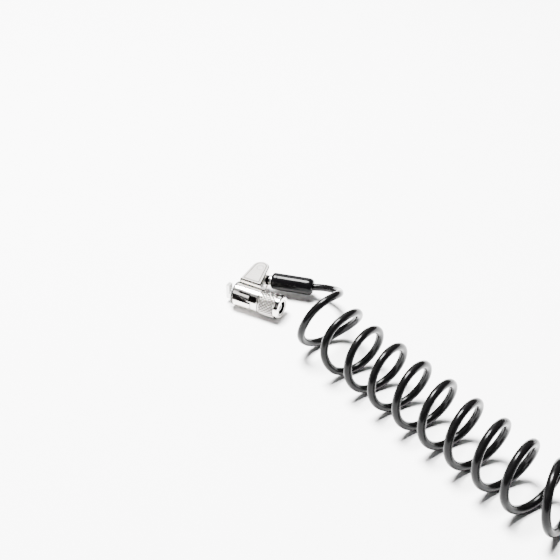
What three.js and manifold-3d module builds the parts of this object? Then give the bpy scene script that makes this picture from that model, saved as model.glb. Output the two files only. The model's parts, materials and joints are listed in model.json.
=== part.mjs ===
// Laptop cable lock: a keyed security lock with a pivoting cable anchor and a self-coiling cable.
// Millimetres, +Z up. X runs along the lock barrel: the T-bar is at -X and the key face at +X.
// +Y is the side the cable anchor's tongue points to. The barrel and the coil lie on z = 0.
import * as THREE from 'three';
import { mergeVertices } from 'three/addons/utils/BufferGeometryUtils.js';
import Module from 'manifold-3d';

const wasm = await Module();
wasm.setup();

// ---------------------------------------------------------------- driving dimensions
const AXIS_Z = 5.15;          // height of the barrel's axis above the table
const BODY_R = 5.05;          // barrel radius
const LOBE_R = 5.15;          // lower shell radius
const PAD_T = 0.5;            // soft pad on the device face
const BODY_X0 = 0.6;          // housing's back face
const BODY_X1 = 12.0;         // housing's front end
const BORE_R = 3.4;           // housing bore for the plunger
const KNOB_X0 = 12.3;         // knurled knob
const KNOB_X1 = 19.5;
const RING_X1 = 21.25;        // key face of the lock
const TONGUE_Z0 = 0.7;        // tongue underside
const TONGUE_Z1 = 11.3;       // tongue top
const TONGUE_Y0 = 2.3;        // front edge of the tongue, above the barrel
const SLOT_Z0 = 3.0;          // anchor slot in the tongue
const SLOT_Z1 = 8.2;
const PIVOT = [4.4, 12.4];    // vertical pivot pin of the cable anchor
const ARM_DEG = 13.4;         // direction the cable leaves in, from +X toward +Y
const ARM_Z = 5.6;            // height of the cable's exit
const SLEEVE_D = 7.1;
const SLEEVE_S0 = 5.1;        // sleeve's ends, measured from the pivot along the arm
const SLEEVE_S1 = 22.8;
const CABLE_D = 3.03;
const COIL_R = 10.79;         // coil radius at the cable's centre
const COIL_OR = COIL_R + CABLE_D / 2;
const GAP = 0.3;
// Row origin: middle of the lock's own footprint (without the cord), on the table
const ORIGIN = [11.52, 7.77, 0];

const group = new THREE.Group();

// ---------------------------------------------------------------- helpers
const finishes = {
  nickel: { color: 0xd9d6d2, roughness: 0.28, metalness: 1.0 },
  bright: { color: 0xe6e4e0, roughness: 0.18, metalness: 1.0 },
  steel: { color: 0xb8b8b6, roughness: 0.35, metalness: 1.0 },
  brass: { color: 0xb89a4e, roughness: 0.35, metalness: 1.0 },
  black: { color: 0x0c0c0d, roughness: 0.25, metalness: 0.0 },
  rubber: { color: 0x151515, roughness: 0.7, metalness: 0.0 },
};
function mesh(name, geo, finish) {
  const m = new THREE.Mesh(geo, new THREE.MeshStandardMaterial(finishes[finish]));
  m.name = name;
  group.add(m);
  return m;
}
function solid(geo) {
  let g = geo.clone();
  for (const k of Object.keys(g.attributes)) if (k !== 'position') g.deleteAttribute(k);
  g = mergeVertices(g, 1e-4);
  const tri = [];
  for (let i = 0; i < g.index.count; i += 3) {
    const [a, b, c] = [g.index.getX(i), g.index.getX(i + 1), g.index.getX(i + 2)];
    if (a !== b && b !== c && c !== a) tri.push(a, b, c);
  }
  return new wasm.Manifold(new wasm.Mesh({
    numProp: 3,
    vertProperties: new Float32Array(g.attributes.position.array),
    triVerts: new Uint32Array(tri),
  }));
}
function geometry(man) {
  const me = man.getMesh();
  const g = new THREE.BufferGeometry();
  g.setAttribute('position', new THREE.BufferAttribute(new Float32Array(me.vertProperties), 3));
  g.setIndex(new THREE.BufferAttribute(new Uint32Array(me.triVerts), 1));
  g.computeVertexNormals();
  return g;
}
// solid of revolution about the barrel axis: profile of [x, r] pairs
function turned(profile, seg = 32, start = 0) {
  const g = new THREE.LatheGeometry(profile.map(([x, r]) => new THREE.Vector2(r, x)), seg);
  g.rotateY(start);
  g.rotateZ(-Math.PI / 2);      // lathe axis +Y becomes +X
  g.translate(0, 0, AXIS_Z);
  return g;
}
const rod = (x0, x1, r, seg) => turned([[x0, 0], [x0, r], [x1, r], [x1, 0]], seg);
const tube = (x0, x1, ri, ro, seg) => turned([[x0, ri], [x0, ro], [x1, ro], [x1, ri], [x0, ri]], seg);
function box(x0, x1, y0, y1, z0, z1) {
  const g = new THREE.BoxGeometry(x1 - x0, y1 - y0, z1 - z0);
  g.translate((x0 + x1) / 2, (y0 + y1) / 2, (z0 + z1) / 2);
  return g;
}
// a box on the barrel's surface: angle 0 = +Y, 90 = top, 180 = -Y
function onBarrel(x0, x1, deg, width, r0, r1) {
  const g = box(x0, x1, r0, r1, -width / 2, width / 2);
  g.rotateX(deg * Math.PI / 180);
  g.translate(0, 0, AXIS_Z);
  return g;
}
// flat plate from an outline in X-Y
function plate(outline, z0, z1, curveSegments = 14) {
  const g = new THREE.ExtrudeGeometry(outline, { depth: z1 - z0, bevelEnabled: false, curveSegments });
  g.translate(0, 0, z0);
  return g;
}
// turned about the vertical pivot: profile of [z, r]
function turnedZ(profile, seg = 24) {
  const g = new THREE.LatheGeometry(profile.map(([z, r]) => new THREE.Vector2(r, z)), seg);
  g.rotateX(Math.PI / 2);
  g.translate(PIVOT[0], PIVOT[1], 0);
  return g;
}
const add = (...m) => m.reduce((a, b) => a.add(b));
const cut = (a, ...m) => m.reduce((p, q) => p.subtract(q), a);

// ---------------------------------------------------------------- housing
function tongueOutline(inset = 0) {
  const s = new THREE.Shape(), r = 3.5 - inset, cx = 4.1, cy = 13.35, y0 = TONGUE_Y0 + inset;
  s.moveTo(0.6 + inset, y0);
  s.lineTo(10.1 - 0.2188 * inset - 1.0237 * inset, y0);
  s.absarc(cx, cy, r, 12.3 * Math.PI / 180, Math.PI, false);
  s.closePath();
  return s;
}
let housing = add(
  solid(turned([[BODY_X0, 0], [BODY_X0, BODY_R - 0.25], [BODY_X0 + 0.25, BODY_R], [BODY_X1 - 0.2, BODY_R], [BODY_X1, BODY_R - 0.2], [BODY_X1, 0]], 40)),
  solid(plate(tongueOutline(), TONGUE_Z0, TONGUE_Z1 - 0.35)),
  wasm.Manifold.hull([solid(plate(tongueOutline(), TONGUE_Z1 - 1, TONGUE_Z1 - 0.35)), solid(plate(tongueOutline(0.35), TONGUE_Z1 - 0.5, TONGUE_Z1))]),  // chamfered top
);
// room for the lower shell around the bottom of the rear half
{
  const band = solid(tube(BODY_X0 + 0.3, 9.3, 4.25, 6.2, 32));
  const below = solid(box(0, 10, -8, 8, -3, AXIS_Z + 1.45));
  // on the near side the room widens toward the device into an open channel
  const channel = new THREE.Shape([[0, AXIS_Z], [0, AXIS_Z + 3.1], [7.6, AXIS_Z + 1.5], [7.6, AXIS_Z]].map(([x, z]) => new THREE.Vector2(x, z)));
  const side = new THREE.ExtrudeGeometry(channel, { depth: 8, bevelEnabled: false });
  side.rotateX(Math.PI / 2);                                      // drawn in X-Z, swept toward -Y
  housing = cut(housing, band.intersect(below.add(solid(side))).subtract(solid(box(0, 10, 4.3, 20, TONGUE_Z0 - 0.001, 20))));
}
housing = cut(
  housing,
  solid(rod(1.6, BODY_X1 + 1, BORE_R, 32)),                       // plunger bore
  solid(rod(-1, 2, 1.45, 24)),                                    // shaft hole
  solid(box(1.3, 14, 9.2, 20, SLOT_Z0, SLOT_Z1)),                 // anchor slot, open at the side and the tip
  solid(turnedZ([[TONGUE_Z0 - 1, 0], [TONGUE_Z0 - 1, 1.05], [TONGUE_Z1 + 1, 1.05], [TONGUE_Z1 + 1, 0]], 20)),
  solid(onBarrel(3.5, 8.3, 129, 0.9, 4.3, 6)),                   // travel slot
  solid(onBarrel(8.1, 11.75, 145, 2.5, 3.7, 6)),                   // window
  solid(onBarrel(1.7, 11.3, 75, 0.42, 4.65, 5.6)),                // fine grooves beside the tongue
  solid(onBarrel(2.8, 11.5, 86, 0.42, 4.65, 6)),
  solid(onBarrel(3.9, 11.7, 98, 0.42, 4.65, 6)),
  solid(plate(tongueOutline(1.0), TONGUE_Z1 - 0.35, TONGUE_Z1 + 1)),  // seat of the cover plate
  solid(onBarrel(5.0, 6.3, 45, 1.3, 3.0, 4.3)),                   // detent pocket
);
mesh('housing', geometry(housing), 'nickel');

// lower shell: a half sleeve under the rear of the barrel
{
  const ring = solid(turned([[BODY_X0 + 0.45, 4.4], [BODY_X0 + 0.45, LOBE_R - 0.2], [BODY_X0 + 0.65, LOBE_R], [8.5, LOBE_R], [8.95, LOBE_R - 0.45], [8.95, 4.4], [BODY_X0 + 0.45, 4.4]], 40));
  const half = solid(box(0, 10, -8, 8, -3, AXIS_Z + 0.6));
  const side = solid(box(-1, 11, 3.3, 12, TONGUE_Z0 - 0.3, 20));
  mesh('lower_shell', geometry(cut(ring.intersect(half), side)), 'nickel');
}

// cover plate let into the top of the tongue, with a plain round badge field
{
  const p = cut(solid(plate(tongueOutline(1.35), TONGUE_Z1 - 0.32, TONGUE_Z1 + 0.05)),
    solid(turnedZ([[TONGUE_Z1 - 0.8, 0], [TONGUE_Z1 - 0.8, 1.45], [TONGUE_Z1 + 1, 1.45], [TONGUE_Z1 + 1, 0]], 24)));
  mesh('tongue_cover', geometry(p), 'nickel');
}
// pivot pin with a low flat head
mesh('pivot_pin', turnedZ([[1.0, 0], [1.0, 1.0], [TONGUE_Z1 - 0.25, 1.0], [TONGUE_Z1 - 0.25, 1.3], [TONGUE_Z1 + 0.05, 1.3], [TONGUE_Z1 + 0.05, 0]], 24), 'bright');

// ---------------------------------------------------------------- device side
mesh('face_pad', tube(0, PAD_T, 3.6, 4.85, 40), 'rubber');
mesh('anti_turn_tab_front', box(-1.9, BODY_X0 - 0.02, -3.2, -2.3, AXIS_Z - 1.1, AXIS_Z + 1.1), 'steel');
mesh('anti_turn_tab_rear', box(-1.9, BODY_X0 - 0.02, 2.3, 3.2, AXIS_Z - 1.1, AXIS_Z + 1.1), 'steel');
mesh('t_bar_shaft', geometry(cut(solid(rod(-2.2, 12.3, 1.3, 20)), solid(box(9.3, 13, -0.5, 0.5, AXIS_Z - 2, AXIS_Z + 2)))), 'steel');
mesh('t_bar_head', (() => {
  const g = box(-4.0, -2.5, -1.3, 1.3, AXIS_Z - 3.2, AXIS_Z + 3.2);
  return g;
})(), 'steel');
mesh('retaining_clip', tube(1.7, 2.3, 1.35, 2.4, 24), 'steel');
mesh('spring_washer', tube(2.5, 3.0, 1.9, 3.2, 24), 'steel');
mesh('detent_ball', (() => {
  const g = new THREE.SphereGeometry(0.45, 10, 8);
  g.translate(5.65, 3.78 * Math.cos(Math.PI / 4), AXIS_Z + 3.78 * Math.sin(Math.PI / 4));
  return g;
})(), 'steel');

// ---------------------------------------------------------------- sliding knob
mesh('plunger', tube(3.3, KNOB_X0 + 0.4, 1.8, BORE_R - 0.15, 32), 'steel');
{
  let knob = solid(turned([[KNOB_X0, 3.35], [KNOB_X0, BODY_R - 0.3], [KNOB_X0 + 0.3, BODY_R], [KNOB_X1, BODY_R], [KNOB_X1, 3.35], [KNOB_X0, 3.35]], 48));
  mesh('knurled_knob', geometry(knob), 'nickel');
  let ring = solid(turned([[KNOB_X1 + 0.02, 3.35], [KNOB_X1 + 0.02, BODY_R - 0.12], [RING_X1 - 0.5, BODY_R - 0.12], [RING_X1, BODY_R - 0.62], [RING_X1, 3.35], [KNOB_X1 + 0.02, 3.35]], 48));
  for (let i = 0; i < 5; i++) ring = cut(ring, solid(onBarrel(KNOB_X1 + 0.2, KNOB_X1 + 1.2, 66 + 72 * i, 2.7, 4.4, 6)));
  mesh('face_ring', geometry(ring), 'bright');
}

// ---------------------------------------------------------------- key cylinder
{
  let c = solid(turned([[13.0, 2.35], [13.0, 3.1], [RING_X1 - 0.15, 3.1], [RING_X1 - 0.15, 2.75], [RING_X1 - 2.1, 2.75], [RING_X1 - 2.1, 1.8], [18.8, 1.8], [18.8, 2.35], [13.0, 2.35]], 32));
  c = cut(c,
    solid(onBarrel(RING_X1 - 0.96, RING_X1 + 1, 215, 0.9, 2.4, 3.3)),   // key notch
    solid(onBarrel(13.6, 18.4, 20, 0.9, 2.5, 4)),                       // sidebar slot
  );
  mesh('key_cylinder', geometry(c), 'bright');
}
{
  let p = solid(turned([[18.2, 0], [18.2, 1.6], [RING_X1 - 1.1, 1.6], [RING_X1 - 0.9, 1.4], [RING_X1 - 0.9, 0.75], [RING_X1 - 1.8, 0.75], [RING_X1 - 1.8, 0]], 28));
  p = cut(p, solid(onBarrel(RING_X1 - 1.8, RING_X1 + 1, 215, 0.7, 0.2, 3)));
  mesh('key_post', geometry(p), 'steel');
}
for (let i = 0; i < 4; i++) {
  const x = 13.5 + i * 1.15;
  let d = cut(solid(tube(x, x + 0.85, 0.9, 2.2, 24)), solid(onBarrel(x - 1, x + 2, 20, 0.6, 1.8, 3)));
  mesh('disc_' + (i + 1), geometry(d), 'brass');
}
mesh('drive_bar', box(9.6, 18.05, -0.35, 0.35, AXIS_Z - 0.65, AXIS_Z + 0.65), 'steel');
mesh('sidebar', onBarrel(13.75, 18.25, 20, 0.6, 2.55, 3.05), 'steel');

// ---------------------------------------------------------------- cable anchor
const arm = new THREE.Matrix4().makeRotationZ(ARM_DEG * Math.PI / 180).setPosition(PIVOT[0], PIVOT[1], ARM_Z);
// profile of [s, r] turned about the arm's own line
function alongArm(profile, seg) {
  const g = new THREE.LatheGeometry(profile.map(([s, r]) => new THREE.Vector2(r, s)), seg);
  g.rotateZ(-Math.PI / 2);
  g.applyMatrix4(arm);
  return g;
}
{
  // eye on the pin, with a round shank toward the cable
  let m = solid(turnedZ([[SLOT_Z0 + 0.4, 0], [SLOT_Z0 + 0.4, 2.5], [SLOT_Z0 + 0.8, 2.9], [SLOT_Z1 - 0.8, 2.9], [SLOT_Z1 - 0.4, 2.5], [SLOT_Z1 - 0.4, 0]], 28));
  m = m.add(solid(alongArm([[0, 0], [0, 2.1], [4.2, 2.1], [4.5, 1.8], [4.5, 0]], 24)));
  m = cut(m, solid(turnedZ([[0, 0], [0, 1.08], [12, 1.08], [12, 0]], 20)));
  mesh('swivel_eye', geometry(m), 'bright');
}
mesh('eye_washer_lower', turnedZ([[SLOT_Z0 + 0.02, 1.1], [SLOT_Z0 + 0.02, 2.3], [SLOT_Z0 + 0.3, 2.3], [SLOT_Z0 + 0.3, 1.1], [SLOT_Z0 + 0.02, 1.1]], 20), 'steel');
mesh('eye_washer_upper', turnedZ([[SLOT_Z1 - 0.3, 1.1], [SLOT_Z1 - 0.3, 2.3], [SLOT_Z1 - 0.02, 2.3], [SLOT_Z1 - 0.02, 1.1], [SLOT_Z1 - 0.3, 1.1]], 20), 'steel');
mesh('crimp_ferrule', alongArm([[4.52, 0], [4.52, 2.3], [6.0, 2.3], [6.0, 2.5], [18.8, 2.5], [18.8, 0]], 20), 'steel');
mesh('cable_sleeve', alongArm([[SLEEVE_S0, 2.52], [SLEEVE_S0, 2.8], [SLEEVE_S0 + 0.3, 3.25], [SLEEVE_S0 + 0.9, SLEEVE_D / 2], [SLEEVE_S1 - 2.0, SLEEVE_D / 2], [SLEEVE_S1 - 1.1, 3.36], [SLEEVE_S1 - 0.5, 3.0], [SLEEVE_S1 - 0.15, 2.5], [SLEEVE_S1, 2.0], [SLEEVE_S1, 0], [19.1, 0], [19.1, 2.52], [SLEEVE_S0, 2.52]], 24), 'black');

// ---------------------------------------------------------------- cord
// The cable's springy lead from the sleeve to the coil, at the cable's centre
const EXIT = [PIVOT[0] + (SLEEVE_S1 + GAP) * Math.cos(ARM_DEG * Math.PI / 180), PIVOT[1] + (SLEEVE_S1 + GAP) * Math.sin(ARM_DEG * Math.PI / 180), ARM_Z];
const LEAD = [
  EXIT,
  [30.78, 18.43, 6.32], [34.77, 17.85, 7.43], [38.01, 15.97, 9.2], [40.25, 13.15, 11.33], [41.81, 10.03, 13.68],
  [43.19, 6.96, 16.19], [44.54, 3.92, 18.74], [45.91, 0.8, 21.21], [47.04, -2.53, 23.49], [47.16, -6.3, 25.23],
  [46.02, -10.26, 25.73], [44.19, -13.87, 24.55], [42.33, -16.75, 21.94], [40.87, -18.66, 18.3],
  [39.71, -19.09, 14.17], [39.1, -17.7, 9.99], [39.32, -15.13, 6.27], [40.39, -11.8, 3.51], [42.27, -7.96, 2.1],
  [44.69, -4.26, 2.38], [47.54, -1.32, 4.25], [50.57, 0.18, 7.13], [53.26, 0.18, 10.68], [55.12, -1.16, 14.55],
  [56.08, -3.57, 18.18],
];
function cable(points, steps, sides = 8) {
  const path = new THREE.CatmullRomCurve3(points.map((p) => new THREE.Vector3(...p)), false, 'centripetal');
  const section = new THREE.Shape();
  for (let i = 0; i < sides; i++) {
    const a = (i + 0.5) / sides * 2 * Math.PI, r = CABLE_D / 2 / Math.cos(Math.PI / sides) * 0.97;
    if (i) section.lineTo(r * Math.cos(a), r * Math.sin(a)); else section.moveTo(r * Math.cos(a), r * Math.sin(a));
  }
  section.closePath();
  return new THREE.ExtrudeGeometry(section, { steps, bevelEnabled: false, extrudePath: path, curveSegments: 1 });
}
mesh('cable_lead', cable(LEAD, 26), 'black');

// the coil's axis: straight, then a bend, then straight again
const COIL_START = [49.545, -12.242];
const COIL_DEG = -22.493;
const OPEN_S0 = 4.75;         // where the coil's solid begins along its axis
const BEND_S = 96;            // where its axis starts to bend
const BEND_R = 30;
const BEND_DEG = 112.493;
const REST_LEN = 26.5;          // close-wound part
function axisAt(s) {
  const h0 = COIL_DEG * Math.PI / 180, B = BEND_DEG * Math.PI / 180;
  const x1 = COIL_START[0] + BEND_S * Math.cos(h0), y1 = COIL_START[1] + BEND_S * Math.sin(h0);
  if (s <= BEND_S) return [COIL_START[0] + s * Math.cos(h0), COIL_START[1] + s * Math.sin(h0), h0];
  const b = Math.min((s - BEND_S) / BEND_R, B);
  const x = x1 + BEND_R * (Math.sin(h0 + b) - Math.sin(h0)), y = y1 - BEND_R * (Math.cos(h0 + b) - Math.cos(h0));
  const rest = s - BEND_S - BEND_R * b;
  return [x + rest * Math.cos(h0 + b), y + rest * Math.sin(h0 + b), h0 + b];
}
// fat tube of the coil's outer diameter between two stations of its axis
function coilSolid(s0, s1, steps, sides = 16) {
  const verts = [], idx = [];
  for (let k = 0; k <= steps; k++) {
    const [x, y, h] = axisAt(s0 + (s1 - s0) * k / steps);
    for (let i = 0; i < sides; i++) {
      const a = i / sides * 2 * Math.PI - Math.PI / 2;
      verts.push(x - Math.sin(h) * COIL_OR * Math.cos(a), y + Math.cos(h) * COIL_OR * Math.cos(a), COIL_OR + COIL_OR * Math.sin(a));
    }
  }
  const at = (k, i) => k * sides + (i % sides);
  for (let k = 0; k < steps; k++) for (let i = 0; i < sides; i++) {
    idx.push(at(k, i), at(k + 1, i), at(k, i + 1), at(k, i + 1), at(k + 1, i), at(k + 1, i + 1));
  }
  for (let i = 1; i < sides - 1; i++) {
    idx.push(at(0, 0), at(0, i), at(0, i + 1));
    idx.push(at(steps, 0), at(steps, i + 1), at(steps, i));
  }
  const g = new THREE.BufferGeometry();
  g.setAttribute('position', new THREE.Float32BufferAttribute(verts, 3));
  g.setIndex(idx);
  // outward faces, whichever way the section ran
  const p = new THREE.Vector3(), q = new THREE.Vector3(), r = new THREE.Vector3();
  let vol = 0;
  for (let t = 0; t < idx.length; t += 3) {
    p.fromArray(verts, idx[t] * 3); q.fromArray(verts, idx[t + 1] * 3); r.fromArray(verts, idx[t + 2] * 3);
    vol += p.dot(q.cross(r));
  }
  if (vol < 0) { for (let t = 0; t < idx.length; t += 3) { const w = idx[t]; idx[t] = idx[t + 1]; idx[t + 1] = w; } g.setIndex(idx); }
  g.computeVertexNormals();
  return g;
}
const BEND_END = BEND_S + BEND_R * BEND_DEG * Math.PI / 180;
mesh('coil_open', coilSolid(OPEN_S0, BEND_S - GAP / 2, 1), 'black');
mesh('coil_bend', coilSolid(BEND_S + GAP / 2, BEND_END - GAP / 2, 10), 'black');
mesh('coil_rest', coilSolid(BEND_END + GAP / 2, BEND_END + REST_LEN, 1), 'black');

// tail out of the coil, the end sleeve and the eye loop
const [RX, RY] = axisAt(BEND_END + REST_LEN);
const TY = RY + CABLE_D / 2 + GAP;
const EX = RX - 22;                          // the eye's centre line
const SL0 = TY + 15, SL1 = SL0 + 16;         // end sleeve
const Z = CABLE_D / 2 + 0.01;
mesh('cable_tail', cable([[RX, TY, Z], [RX - 5, TY, Z], [RX - 10, TY + 0.3, Z], [RX - 16, TY + 2.4, Z], [EX + 2.0, TY + 6.5, Z + 0.4], [EX + 0.2, TY + 11, Z + 1.2], [EX, SL0 - GAP, Z + 1.4]], 10), 'black');
mesh('end_sleeve', (() => {
  const s = new THREE.Shape();
  s.absarc(1.7, 0, 2.45, -Math.PI / 2, Math.PI / 2, false);
  s.absarc(-1.7, 0, 2.45, Math.PI / 2, 3 * Math.PI / 2, false);
  s.closePath();
  const g = new THREE.ExtrudeGeometry(s, { depth: SL1 - SL0 - 1.2, bevelEnabled: true, bevelThickness: 0.6, bevelSize: 0.5, bevelOffset: -0.5, bevelSegments: 1, curveSegments: 8 });
  g.rotateX(-Math.PI / 2);
  g.translate(EX, SL0 + 0.6, 2.46);
  return g;
})(), 'black');
const LR = 12.4, LY = SL1 + 26;
const loop = [[EX - 1.75, SL1 + GAP, 2.3], [EX - 2.3, SL1 + 5, 2.0], [EX - 6.4, SL1 + 12, Z], [EX - 10.9, SL1 + 19, Z], [EX - LR, LY, Z]];
for (let a = 150; a > 30; a -= 30) loop.push([EX + LR * Math.cos(a * Math.PI / 180), LY + LR * Math.sin(a * Math.PI / 180), Z]);
loop.push([EX + LR * Math.cos(Math.PI / 6), LY + LR * 0.5, Z], [EX + LR, LY, Z], [EX + 10.9, SL1 + 19, Z], [EX + 6.4, SL1 + 12, Z], [EX + 2.3, SL1 + 5, 2.0], [EX + 1.75, SL1 + GAP, 2.3]);
mesh('cable_eye', cable(loop, 26), 'black');

// ---------------------------------------------------------------- row origin
for (const m of group.children) m.position.set(-ORIGIN[0], -ORIGIN[1], -ORIGIN[2]);

export default group;
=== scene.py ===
import bpy, bmesh, json, math
from mathutils import Vector, Matrix


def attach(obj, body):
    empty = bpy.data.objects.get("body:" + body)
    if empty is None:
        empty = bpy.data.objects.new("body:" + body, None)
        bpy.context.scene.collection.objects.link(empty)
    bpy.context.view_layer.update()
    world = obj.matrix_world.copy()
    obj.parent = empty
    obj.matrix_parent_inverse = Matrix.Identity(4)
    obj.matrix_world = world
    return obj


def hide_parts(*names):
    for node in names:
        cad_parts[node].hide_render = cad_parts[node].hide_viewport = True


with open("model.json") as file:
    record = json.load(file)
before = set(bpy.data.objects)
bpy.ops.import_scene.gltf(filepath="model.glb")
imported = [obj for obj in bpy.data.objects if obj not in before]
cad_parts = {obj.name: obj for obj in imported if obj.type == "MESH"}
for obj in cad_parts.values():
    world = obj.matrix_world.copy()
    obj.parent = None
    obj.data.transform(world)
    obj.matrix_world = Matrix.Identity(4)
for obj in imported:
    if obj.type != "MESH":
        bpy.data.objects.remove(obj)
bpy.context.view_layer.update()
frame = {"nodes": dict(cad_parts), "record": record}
nodes = frame["nodes"]

# ------------------------------------------------------------------ sizes, as in the CAD source (mm)
OX, OY = 11.52, 7.77                     # row origin in the drawing's own coordinates
AXIS_Z = 5.15
PIVOT = (4.4, 12.4)
ARM = math.radians(13.4)
ARM_Z = 5.6
SLEEVE_S0, SLEEVE_S1, SLEEVE_D = 5.1, 22.8, 7.1
CABLE_D = 3.03
COIL_R = 10.79


def row(p):
    return Vector(((p[0] - OX) / 1000, (p[1] - OY) / 1000, p[2] / 1000))


# ------------------------------------------------------------------ camera
cam_data = bpy.data.cameras.new("camera")
cam = bpy.data.objects.new("camera", cam_data)
bpy.context.scene.collection.objects.link(cam)
cam_data.sensor_width = 36
cam_data.lens = 64.34
cam_data.clip_start, cam_data.clip_end = 0.01, 20
cam.location = row((169.1, -277.1, 256.65))
cam.rotation_euler = (math.radians(90 - 37.09), 0, math.radians(28.23))
bpy.context.scene.camera = cam

# ------------------------------------------------------------------ the cord's route
# lead: from the sleeve, up and over into the coil's first turn
END = SLEEVE_S1 - 0.1
LEAD = [
    [PIVOT[0] + END * math.cos(ARM), PIVOT[1] + END * math.sin(ARM), ARM_Z],
    [30.78, 18.43, 6.32], [34.77, 17.85, 7.43], [38.01, 15.97, 9.2], [40.25, 13.15, 11.33], [41.81, 10.03, 13.68],
    [43.19, 6.96, 16.19], [44.54, 3.92, 18.74], [45.91, 0.8, 21.21], [47.04, -2.53, 23.49], [47.16, -6.3, 25.23],
    [46.02, -10.26, 25.73], [44.19, -13.87, 24.55], [42.33, -16.75, 21.94], [40.87, -18.66, 18.3],
    [39.71, -19.09, 14.17], [39.1, -17.7, 9.99], [39.32, -15.13, 6.27], [40.39, -11.8, 3.51], [42.27, -7.96, 2.1],
    [44.69, -4.26, 2.38], [47.54, -1.32, 4.25], [50.57, 0.18, 7.13], [53.26, 0.18, 10.68], [55.12, -1.16, 14.55],
    [56.08, -3.57, 18.18], [56.33, -6.93, 21.22], [55.92, -10.93, 23.11], [54.87, -15.29, 23.63],
    [53.54, -19.39, 22.55], [52.47, -22.8, 19.82], [52.15, -24.88, 15.92], [52.73, -25.42, 11.56],
]
COIL_START = (49.545, -12.242)
COIL_DEG, BEND_S, BEND_R, BEND_DEG, REST_LEN = -22.493, 96.0, 30.0, 112.493, 26.5
BEND_END = BEND_S + BEND_R * math.radians(BEND_DEG)


def axis_at(s):
    h0, b_all = math.radians(COIL_DEG), math.radians(BEND_DEG)
    if s <= BEND_S:
        return COIL_START[0] + s * math.cos(h0), COIL_START[1] + s * math.sin(h0), h0
    x1, y1 = COIL_START[0] + BEND_S * math.cos(h0), COIL_START[1] + BEND_S * math.sin(h0)
    b = min((s - BEND_S) / BEND_R, b_all)
    x = x1 + BEND_R * (math.sin(h0 + b) - math.sin(h0))
    y = y1 - BEND_R * (math.cos(h0 + b) - math.cos(h0))
    rest = s - BEND_S - BEND_R * b
    return x + rest * math.cos(h0 + b), y + rest * math.sin(h0 + b), h0 + b


def pitch(s):
    if s < 108:
        return math.sqrt(155.401 - 0.126 * s)
    if s < 120:
        return 11.907 + (7.2 - 11.907) * (s - 108) / 12
    if s < BEND_END - 6:
        return 7.2
    if s < BEND_END + 3:
        return 7.2 + (3.12 - 7.2) * (s - BEND_END + 6) / 9
    return 3.12


def coil_point(s, th):
    x, y, h = axis_at(s)
    return [x - COIL_R * math.cos(th) * math.sin(h), y + COIL_R * math.cos(th) * math.cos(h), CABLE_D / 2 + COIL_R + COIL_R * math.sin(th)]


STEPS = 20                               # stations in a turn of the coil
T0 = 0.75                                # where the coil proper takes over from the lead, in turns
TURNS = 22.1344                          # from there to the coil's end, at the bottom of a turn
coil_pts, s, th = [], 12.466 * T0 - 0.0315 * T0 ** 2, 2 * math.pi * T0 + math.radians(311.764)
n = int(round(TURNS * STEPS))
for i in range(n + 1):
    coil_pts.append(coil_point(s, th))
    if i < n:
        dt = TURNS / n
        th += 2 * math.pi * dt
        s += pitch(s + pitch(s) * dt / 2) * dt
RX, RY = axis_at(BEND_END + REST_LEN)[:2]
TY = RY + CABLE_D / 2 + 0.3
EX = RX - 22
SL0 = TY + 15
SL1 = SL0 + 16
Z = CABLE_D / 2 + 0.01
ends = (s, math.degrees(th) % 360)
# tail out of the coil, up through the end sleeve, round the eye and back into the sleeve
LR, LY = 12.4, SL1 + 26
TAIL = [
    [RX - 5, TY - 0.2, Z], [RX - 10, TY + 0.3, Z], [RX - 16, TY + 2.4, Z], [EX + 2.0, TY + 6.5, Z + 0.4],
    [EX + 0.2, TY + 11, Z + 1.0], [EX - 0.6, SL0 - 0.3, Z + 0.9], [EX - 1.4, SL0 + 6, Z + 0.9], [EX - 1.75, SL1 + 0.3, Z + 0.8],
    [EX - 2.5, SL1 + 5, Z + 0.4], [EX - 6.4, SL1 + 12, Z], [EX - 10.9, SL1 + 19, Z], [EX - LR, LY, Z],
]
TAIL += [[EX + LR * math.cos(math.radians(a)), LY + LR * math.sin(math.radians(a)), Z] for a in (150, 120, 90, 60, 30)]
TAIL += [[EX + LR, LY, Z], [EX + 10.9, SL1 + 19, Z], [EX + 6.4, SL1 + 12, Z], [EX + 2.5, SL1 + 5, Z + 0.4], [EX + 1.75, SL1 + 0.3, Z + 0.8], [EX + 1.6, SL1 - 8, Z + 0.9]]
ROUTE = LEAD + coil_pts + TAIL
print("coil ends at", ends, BEND_END + REST_LEN, "points", len(ROUTE))


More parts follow.
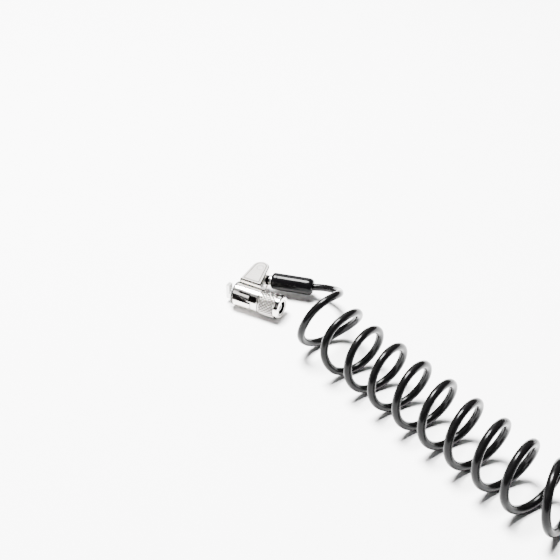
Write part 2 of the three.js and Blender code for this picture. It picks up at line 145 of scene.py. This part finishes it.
# ------------------------------------------------------------------ materials
def material(name, base, rough=0.4, metal=0.0, spec=0.5, coat=0.0, grain=2500, bump=0.02, vary=0.25, tint=0.12, stretch=(1, 1, 1), lumps=0.0, ior=1.5):
    """Principled surface with fine grain: noise drives the roughness, a slight tone change and a small bump."""
    m = bpy.data.materials.new(name)
    m.use_nodes = True
    nt = m.node_tree
    b = nt.nodes["Principled BSDF"]
    b.inputs["Metallic"].default_value = metal
    b.inputs["Specular IOR Level"].default_value = spec
    b.inputs["IOR"].default_value = ior
    b.inputs["Coat Weight"].default_value = coat
    b.inputs["Coat Roughness"].default_value = 0.04
    co = nt.nodes.new("ShaderNodeTexCoord")
    mp = nt.nodes.new("ShaderNodeMapping")
    mp.inputs["Scale"].default_value = stretch
    nt.links.new(co.outputs["Object"], mp.inputs["Vector"])
    fine = nt.nodes.new("ShaderNodeTexNoise")
    fine.inputs["Scale"].default_value = grain
    fine.inputs["Detail"].default_value = 4
    wide = nt.nodes.new("ShaderNodeTexNoise")
    wide.inputs["Scale"].default_value = grain / 14
    wide.inputs["Detail"].default_value = 3
    for t in (fine, wide):
        nt.links.new(mp.outputs["Vector"], t.inputs["Vector"])
    rr = nt.nodes.new("ShaderNodeMapRange")
    rr.inputs["To Min"].default_value = rough * (1 - vary)
    rr.inputs["To Max"].default_value = rough * (1 + vary)
    nt.links.new(fine.outputs["Fac"], rr.inputs["Value"])
    nt.links.new(rr.outputs["Result"], b.inputs["Roughness"])
    ramp = nt.nodes.new("ShaderNodeValToRGB")
    ramp.color_ramp.elements[0].position, ramp.color_ramp.elements[1].position = 0.3, 0.7
    ramp.color_ramp.elements[0].color = (*[c * (1 - tint) for c in base], 1)
    ramp.color_ramp.elements[1].color = (*[min(1, c * (1 + tint / 2)) for c in base], 1)
    nt.links.new(wide.outputs["Fac"], ramp.inputs["Fac"])
    nt.links.new(ramp.outputs["Color"], b.inputs["Base Color"])
    bp = nt.nodes.new("ShaderNodeBump")
    bp.inputs["Strength"].default_value = bump
    bp.inputs["Distance"].default_value = 0.0002
    nt.links.new(fine.outputs["Fac"], bp.inputs["Height"])
    last = bp
    if lumps:
        b2 = nt.nodes.new("ShaderNodeBump")
        b2.inputs["Strength"].default_value = lumps
        b2.inputs["Distance"].default_value = 0.0005
        nt.links.new(wide.outputs["Fac"], b2.inputs["Height"])
        nt.links.new(bp.outputs["Normal"], b2.inputs["Normal"])
        last = b2
    nt.links.new(last.outputs["Normal"], b.inputs["Normal"])
    return m


M_CABLE = material("cable_jacket", (0.0024, 0.0023, 0.0024), 0.2, 0, 0.5, 0.0, grain=1600, bump=0.03, lumps=0.02, ior=1.22)
M_SLEEVE = material("shrink_sleeve", (0.0020, 0.0019, 0.0022), 0.16, 0, 0.5, 0.0, grain=1400, bump=0.012, lumps=0.006, ior=1.18)
M_NICKEL = material("satin_nickel", (0.74, 0.71, 0.675), 0.16, 1, grain=3000, bump=0.03, stretch=(0.3, 1, 1))
M_BRIGHT = material("bright_nickel", (0.80, 0.775, 0.745), 0.10, 1, grain=2600, bump=0.015)
M_STEEL = material("machined_steel", (0.60, 0.60, 0.59), 0.30, 1, grain=3500, bump=0.05, stretch=(0.2, 1, 1))
M_BRASS = material("stamped_brass", (0.72, 0.56, 0.28), 0.35, 1, grain=2500, bump=0.05)
M_RUBBER = material("soft_pad", (0.012, 0.012, 0.012), 0.65, 0, 0.3, grain=3500, bump=0.12)
# painted shade: near-black, barely reflecting material put on recess and groove faces where shade falls
M_PAINTED_SHADE = material("painted_recess_shade", (0.0035, 0.0032, 0.003), 0.7, 0, 0.03, grain=2500, bump=0.05)
slots = {"nickel": M_NICKEL, "bright": M_BRIGHT, "steel": M_STEEL, "brass": M_BRASS, "pad": M_RUBBER, "sleeve": M_SLEEVE, "cable": M_CABLE}
for sp in frame["record"]["subparts"]:
    o = nodes[sp["node"]]
    o.data.materials.clear()
    o.data.materials.append(slots[sp["material_slot"]])
    if sp["node"] not in ("tongue_cover", "t_bar_head", "anti_turn_tab_front", "anti_turn_tab_rear", "drive_bar", "sidebar"):
        o.data.shade_smooth()
        w = o.modifiers.new("weld", "WELD")
        w.merge_threshold = 2e-6
        e = o.modifiers.new("hard_edges", "EDGE_SPLIT")
        e.split_angle = math.radians(28)


def paint_recess_shade(name, test):
    """Lay painted shade on the faces inside a recess, as a near-black material in place of the shade there; test(x, y,
    z, n, r) is in drawing mm about the barrel axis.
    """
    o = nodes[name]
    me = o.data
    me.materials.append(M_PAINTED_SHADE)
    k = 0
    print(name, "vertices", len(me.vertices), "places", len({tuple(round(v * 1e6) for v in p.co) for p in me.vertices}))
    for p in me.polygons:
        c = o.matrix_world @ p.center
        n = (o.matrix_world.to_3x3() @ p.normal).normalized()
        x, y, z = c.x * 1000 + OX, c.y * 1000 + OY, c.z * 1000
        if test(x, y, z, n, math.hypot(y, z - AXIS_Z)):
            p.material_index = 1
            k += 1
    print("dark faces", name, k)


TONGUE_Z1 = 11.3


# Housing faces that get painted shade: the cover's seat, the anchor slot and the recesses and grooves cut into the
# barrel.
def housing_shade_faces(x, y, z, n, r):
    if z > TONGUE_Z1 - 0.4:                       # the cover's seat
        return z < TONGUE_Z1 - 0.02
    if y > 5.2:                                   # the anchor slot
        return y > 9.0 and (n.z < -0.7 and z > 8 or n.y > 0.7 and 3 < z < 8.2 and y < 9.5)
    if y > 2.2 and (z > 9.4 or abs(n.x) > 0.9 and r > 5.06):
        return False
    rad = (n.y * y + n.z * (z - AXIS_Z)) / max(r, 0.01)
    if y < 1 and z > AXIS_Z and 81 < math.degrees(math.atan2(z - AXIS_Z, y)) < 91 and r > 4.5:
        return False                              # the middle groove catches the light
    if x < 0.9 or x > 11.75 and abs(n.x) > 0.5:
        return False
    return r < 4.97 and (r < 4.75 or abs(rad) < 0.6)


# painted shade on recess faces of the housing, key cylinder, key post and face ring
paint_recess_shade("housing", housing_shade_faces)
paint_recess_shade("key_cylinder", lambda x, y, z, n, r: x < 21.05 and r < 2.9)
paint_recess_shade("key_post", lambda x, y, z, n, r: x < 20.7 and (r < 0.8 or x < 20.2))
paint_recess_shade("face_ring", lambda x, y, z, n, r: x < 20.7 and r < 4.84)

# ------------------------------------------------------------------ knurled sleeve of the knob
def add_valley_shade(m, dark):
    """Mix the base colour towards near-black by the groove attribute: painted shade in the grooves of the knurl."""
    nt = m.node_tree
    b = nt.nodes["Principled BSDF"]
    src = b.inputs["Base Color"].links[0].from_socket
    at = nt.nodes.new("ShaderNodeAttribute")
    at.attribute_name = "valley_shade"
    mix = nt.nodes.new("ShaderNodeMix")
    mix.data_type = "RGBA"
    mix.inputs[7].default_value = (*dark, 1)
    nt.links.new(at.outputs["Fac"], mix.inputs[0])
    nt.links.new(src, mix.inputs[6])
    nt.links.new(mix.outputs[2], b.inputs["Base Color"])
    return m


def knurl():
    R0, X0, X1, N = 5.05, 12.3, 19.5, 22
    prof = [(X0, 3.35, 0), (X0, 4.75, 0), (X0 + 0.2, 4.95, 0), (X0 + 0.45, 4.95, 0), (X0 + 0.5, 4.7, 0)]
    K0, K1 = X0 + 0.55, X1 - 0.12
    rows = 72
    prof += [(K0 + (K1 - K0) * i / rows, None, 1) for i in range(rows + 1)]
    prof += [(K1 + 0.02, 4.7, 0), (X1, 4.7, 0), (X1, 3.35, 0)]
    cols = N * 10
    verts, faces, val = [], [], []
    for x, r, k in prof:
        for j in range(cols):
            th = 2 * math.pi * j / cols
            h, v = 0, 0
            rr = r
            if k:
                u, w = N * th / (2 * math.pi), x * N / (2 * math.pi * R0) * 0.92
                fa, fb = abs((u + w) % 1 * 2 - 1), abs((u - w) % 1 * 2 - 1)
                h = 1 - max(fa, fb)
                top = min(1, h / 0.55)
                rr = R0 - 0.42 + 0.42 * top
                edge = min(1, (x - K0) / 0.15, (K1 - x) / 0.15)
                rr = 4.70 + (rr - 4.70) * max(0, edge)
                # painted shade weight: 1 deep in the grooves, 0 on the diamond tops
                v = max(0, min(1, 1.6 - h / 0.26))
            verts.append((x, rr * math.cos(th), AXIS_Z + rr * math.sin(th)))
            val.append(v)
    for i in range(len(prof)):
        i2 = (i + 1) % len(prof)
        for j in range(cols):
            j2 = (j + 1) % cols
            faces.append((i * cols + j, i2 * cols + j, i2 * cols + j2, i * cols + j2))
    me = bpy.data.meshes.new("knob_knurl")
    me.from_pydata([tuple(row(v)) for v in verts], [], faces)
    bm = bmesh.new()
    bm.from_mesh(me)
    bmesh.ops.recalc_face_normals(bm, faces=bm.faces)
    bm.to_mesh(me)
    bm.free()
    at = me.attributes.new("valley_shade", "FLOAT", "POINT")
    at.data.foreach_set("value", val)
    o = bpy.data.objects.new("knob_knurl", me)
    bpy.context.scene.collection.objects.link(o)
    me.shade_smooth()
    me.set_sharp_from_angle(angle=math.radians(40))
    # the knurl's nickel is mixed towards near-black in the grooves: painted shade
    me.materials.append(add_valley_shade(material("knurled_nickel", (0.64, 0.61, 0.58), 0.16, 1, grain=3000, bump=0.02), (0.1, 0.095, 0.09)))
    me.materials.append(M_PAINTED_SHADE)
    # faces deep in the grooves get the near-black material: painted shade
    for p in me.polygons:
        if sum(val[v] for v in p.vertices) / 4 > 0.62:
            p.material_index = 1
    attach(o, "knob")
    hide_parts("knurled_knob")
    return o


knurl()

# ------------------------------------------------------------------ sleeve over the crimped end
def sleeve():
    S0, S1, R = SLEEVE_S0, SLEEVE_S1, SLEEVE_D / 2
    prof = [(S0, 2.52), (S0, 2.75), (S0 + 0.08, 2.95), (S0 + 0.3, 3.22), (S0 + 0.6, 3.42), (S0 + 0.95, R - 0.02), (S0 + 1.3, R)]
    prof += [(S0 + 2.12, R), (S0 + 2.2, R), (S0 + 2.32, R - 0.06), (S0 + 2.44, R), (S0 + 2.52, R), (S0 + 2.6, R)]          # shallow ring near the anchor
    prof += [(S1 - 2.7, R), (S1 - 2.6, R), (S1 - 2.0, R - 0.01), (S1 - 1.5, 3.46), (S1 - 1.05, 3.33), (S1 - 0.65, 3.1), (S1 - 0.35, 2.8), (S1 - 0.12, 2.42), (S1, 2.0), (S1, 1.56)]
    seg = 96
    ca, sa = math.cos(ARM), math.sin(ARM)
    verts = []
    for st, r in prof:
        for j in range(seg):
            t = 2 * math.pi * j / seg
            lat, up = r * math.cos(t), r * math.sin(t)
            verts.append(tuple(row((PIVOT[0] + st * ca - lat * sa, PIVOT[1] + st * sa + lat * ca, ARM_Z + up))))
    faces = [(i * seg + j, i * seg + (j + 1) % seg, (i + 1) * seg + (j + 1) % seg, (i + 1) * seg + j) for i in range(len(prof) - 1) for j in range(seg)]
    n = len(prof)
    verts += [tuple(row((PIVOT[0] + (S1 - 3.7) * ca - 1.56 * math.cos(2 * math.pi * j / seg) * sa, PIVOT[1] + (S1 - 3.7) * sa + 1.56 * math.cos(2 * math.pi * j / seg) * ca, ARM_Z + 1.56 * math.sin(2 * math.pi * j / seg)))) for j in range(seg)]
    verts += [tuple(row((PIVOT[0] + (S1 - 3.7) * ca - 2.52 * math.cos(2 * math.pi * j / seg) * sa, PIVOT[1] + (S1 - 3.7) * sa + 2.52 * math.cos(2 * math.pi * j / seg) * ca, ARM_Z + 2.52 * math.sin(2 * math.pi * j / seg)))) for j in range(seg)]
    for i in (n - 1, n):
        faces += [(i * seg + j, i * seg + (j + 1) % seg, (i + 1) * seg + (j + 1) % seg, (i + 1) * seg + j) for j in range(seg)]
    faces += [((n + 1) * seg + j, (n + 1) * seg + (j + 1) % seg, (j + 1) % seg, j) for j in range(seg)]
    me = bpy.data.meshes.new("sleeve_skin")
    me.from_pydata(verts, [], faces)
    bm = bmesh.new()
    bm.from_mesh(me)
    bmesh.ops.recalc_face_normals(bm, faces=bm.faces)
    bm.to_mesh(me)
    bm.free()
    me.shade_smooth()
    me.set_sharp_from_angle(angle=math.radians(35))
    me.materials.append(M_SLEEVE)
    o = bpy.data.objects.new("sleeve_skin", me)
    bpy.context.scene.collection.objects.link(o)
    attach(o, "ferrule")
    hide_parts("cable_sleeve")


sleeve()

# ------------------------------------------------------------------ cord
cd = bpy.data.curves.new("cable", "CURVE")
cd.dimensions = "3D"
cd.bevel_depth = CABLE_D / 2000
cd.bevel_resolution = 5
cd.resolution_u = 3
cd.use_fill_caps = True
sp = cd.splines.new("BEZIER")
sp.bezier_points.add(len(ROUTE) - 1)
for bp, p in zip(sp.bezier_points, ROUTE):
    bp.co = row(p)
    bp.handle_left_type = bp.handle_right_type = "AUTO"
cable = bpy.data.objects.new("cable", cd)
bpy.context.scene.collection.objects.link(cable)
cd.materials.append(M_CABLE)
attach(cable, "anchor")
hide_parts("cable_lead", "coil_open", "coil_bend", "coil_rest", "cable_tail", "cable_eye")

# ------------------------------------------------------------------ floor and light
bpy.ops.mesh.primitive_plane_add(size=6, location=(0, 0, 0))
floor = bpy.context.object
floor.name = "floor"
floor.data.materials.append(material("floor_white", (0.93, 0.93, 0.93), 0.7, 0, 0.1, grain=300, bump=0.01, tint=0.01))
world = bpy.data.worlds.new("studio")
world.use_nodes = True
world.node_tree.nodes["Background"].inputs["Color"].default_value = (0.9, 0.95, 1, 1)
world.node_tree.nodes["Background"].inputs["Strength"].default_value = 0.015
bpy.context.scene.world = world


def area(name, azimuth, elevation, dist, size, power, color=(1, 1, 1)):
    """Soft box aimed at the object; azimuth 0 is +X, 90 is +Y."""
    l = bpy.data.lights.new(name, "AREA")
    l.shape = "RECTANGLE"
    l.size, l.size_y, l.energy, l.color = size[0], size[1], power, color
    o = bpy.data.objects.new(name, l)
    bpy.context.scene.collection.objects.link(o)
    a, e = math.radians(azimuth), math.radians(elevation)
    t = Vector((0.05, -0.02, 0))
    o.location = t + Vector((math.cos(e) * math.cos(a), math.cos(e) * math.sin(a), math.sin(e))) * dist
    o.rotation_euler = (t - o.location).to_track_quat("-Z", "Y").to_euler()
    return o


area("key_left", 155, 73, 1.1, (0.38, 0.46), 130)
area("back_card", 119, 38, 1.3, (0.55, 0.40), 3.4)
area("front_card", 238, 38, 1.2, (0.45, 0.5), 2.0)
